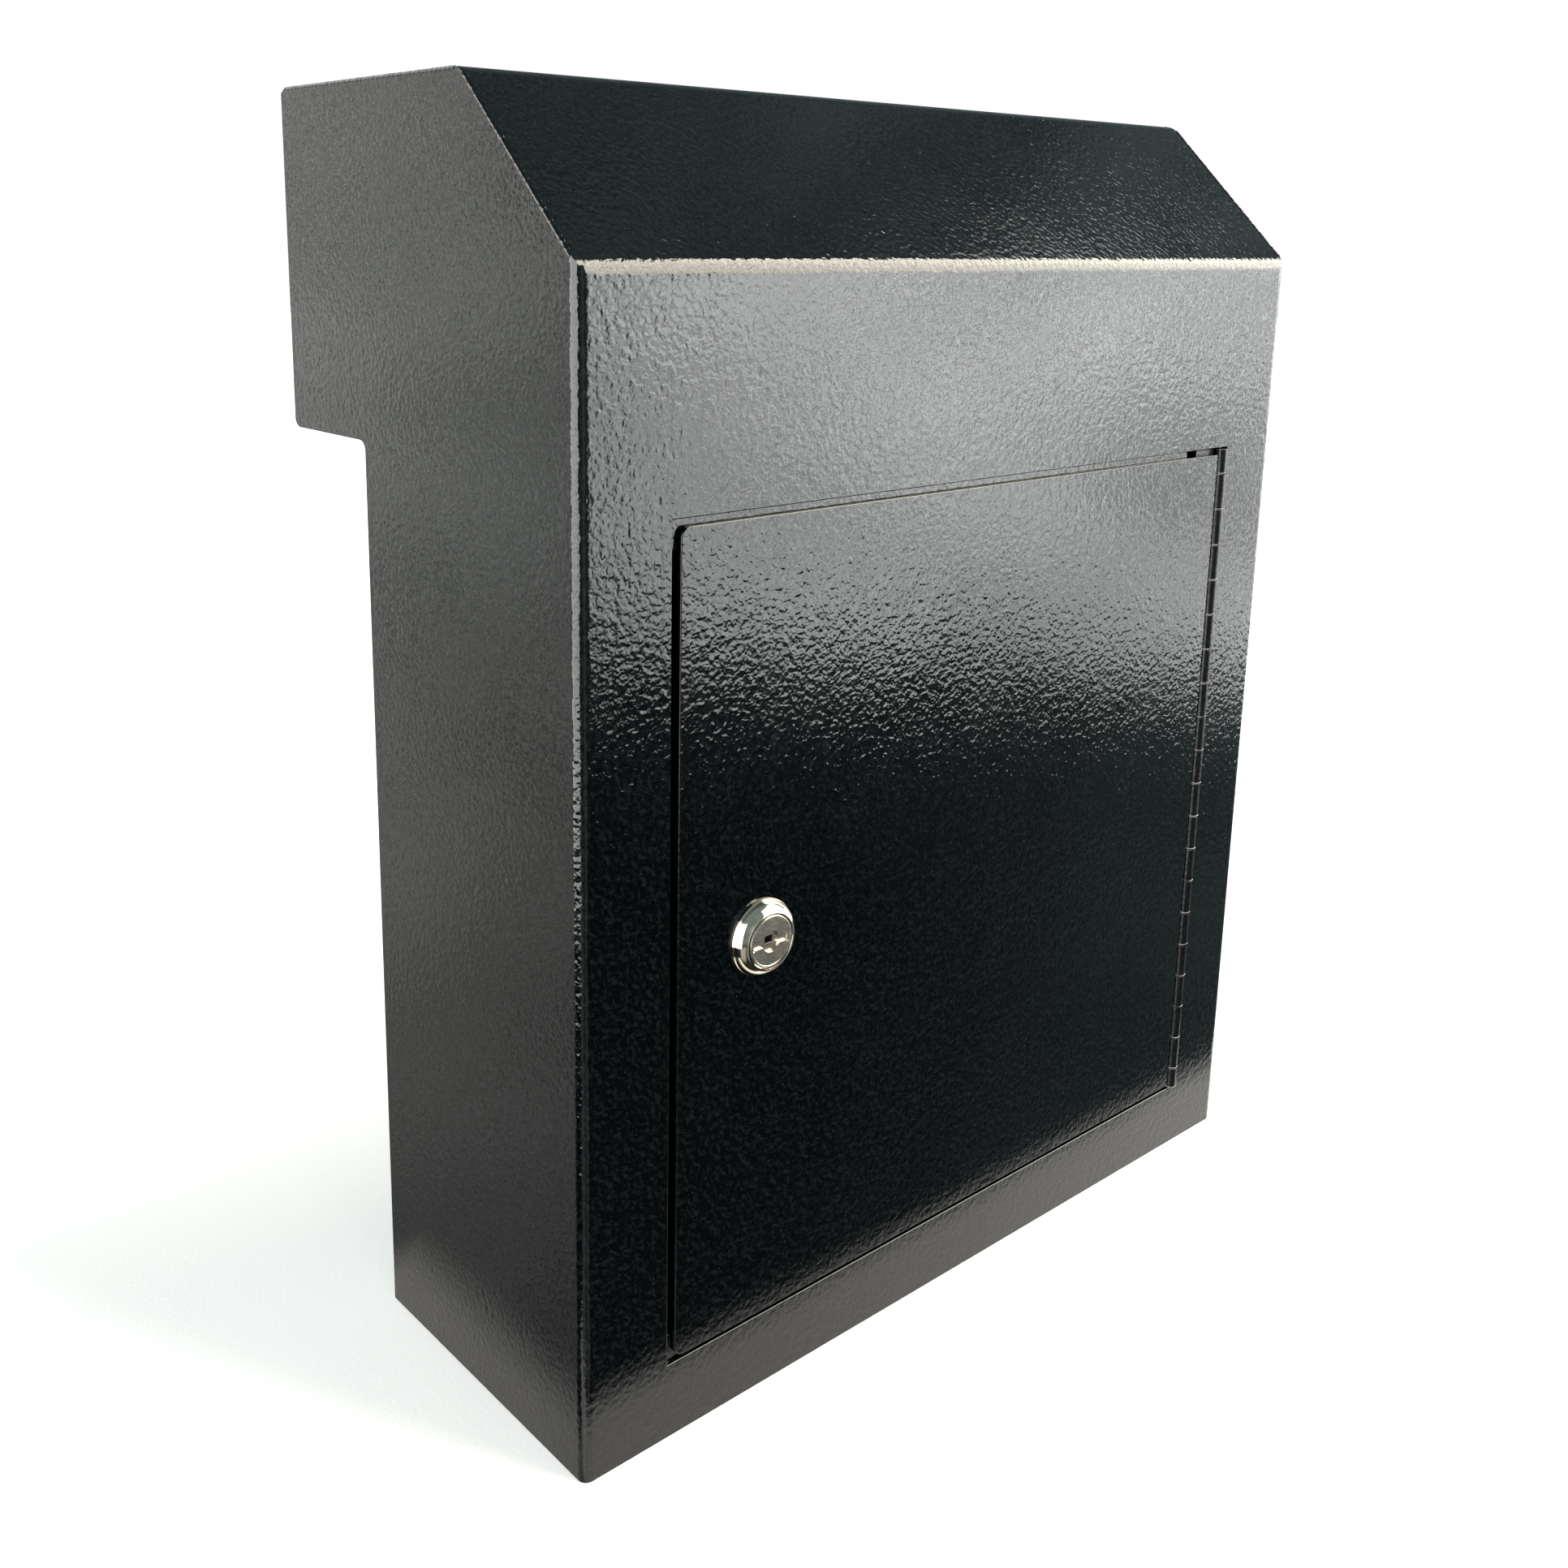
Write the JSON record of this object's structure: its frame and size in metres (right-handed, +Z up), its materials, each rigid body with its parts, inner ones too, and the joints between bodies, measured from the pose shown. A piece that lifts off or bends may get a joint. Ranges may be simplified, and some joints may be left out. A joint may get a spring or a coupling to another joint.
{
  "type": "locking drop box",
  "caption": "Black steel drop box with a sloped hood, a rear neck with a deposit slot that passes through a door or wall, and a keyed front door on a continuous hinge.",
  "frame": {"origin": "bottom centre of the whole object's box", "axes": "+Z up, +Y to the back, so the door faces -Y, and +X to the right as seen from the front"},
  "size_m": [0.306, 0.1536, 0.381],
  "materials": {
    "black_powder_coat": "textured powder coat, semi-gloss",
    "bright_nickel": "bright plated",
    "satin_nickel": "satin plated",
    "zinc_plate": "zinc plated, dull",
    "brass": "stamped, unpolished"
  },
  "bodies": {
    "cabinet": {"body_shell": "black_powder_coat", "back_sheet": "black_powder_coat", "bottom_panel": "black_powder_coat", "top_door_stop": "black_powder_coat", "bottom_door_stop": "black_powder_coat", "chute_ramp": "black_powder_coat", "fishing_baffle": "black_powder_coat", "hinge_leaf_cabinet": "black_powder_coat", "hinge_pin": "zinc_plate"},
    "door": {"door_panel": "black_powder_coat", "hinge_leaf_door": "black_powder_coat", "lock_housing": "bright_nickel", "lock_nut": "zinc_plate"},
    "lock_core": {"lock_plug": "satin_nickel", "lock_wafer_1": "brass", "lock_wafer_2": "brass", "lock_wafer_3": "brass", "lock_wafer_4": "brass", "lock_wafer_5": "brass", "lock_stop_washer": "zinc_plate", "lock_cam": "zinc_plate", "cam_spring_washer": "zinc_plate", "cam_screw": "zinc_plate"}
  },
  "joints": [
    {"name": "door_hinge", "type": "hinge", "parent": "cabinet", "child": "door", "pos_m": [0.1234, -0.0719, 0.1468], "axis": [0, 0, 1], "range_deg": [0, 145]},
    {"name": "lock_turn", "type": "hinge", "parent": "door", "child": "lock_core", "pos_m": [-0.0904, -0.07265, 0.1468], "axis": [0, -1, 0], "range_deg": [0, 90]}
  ]
}
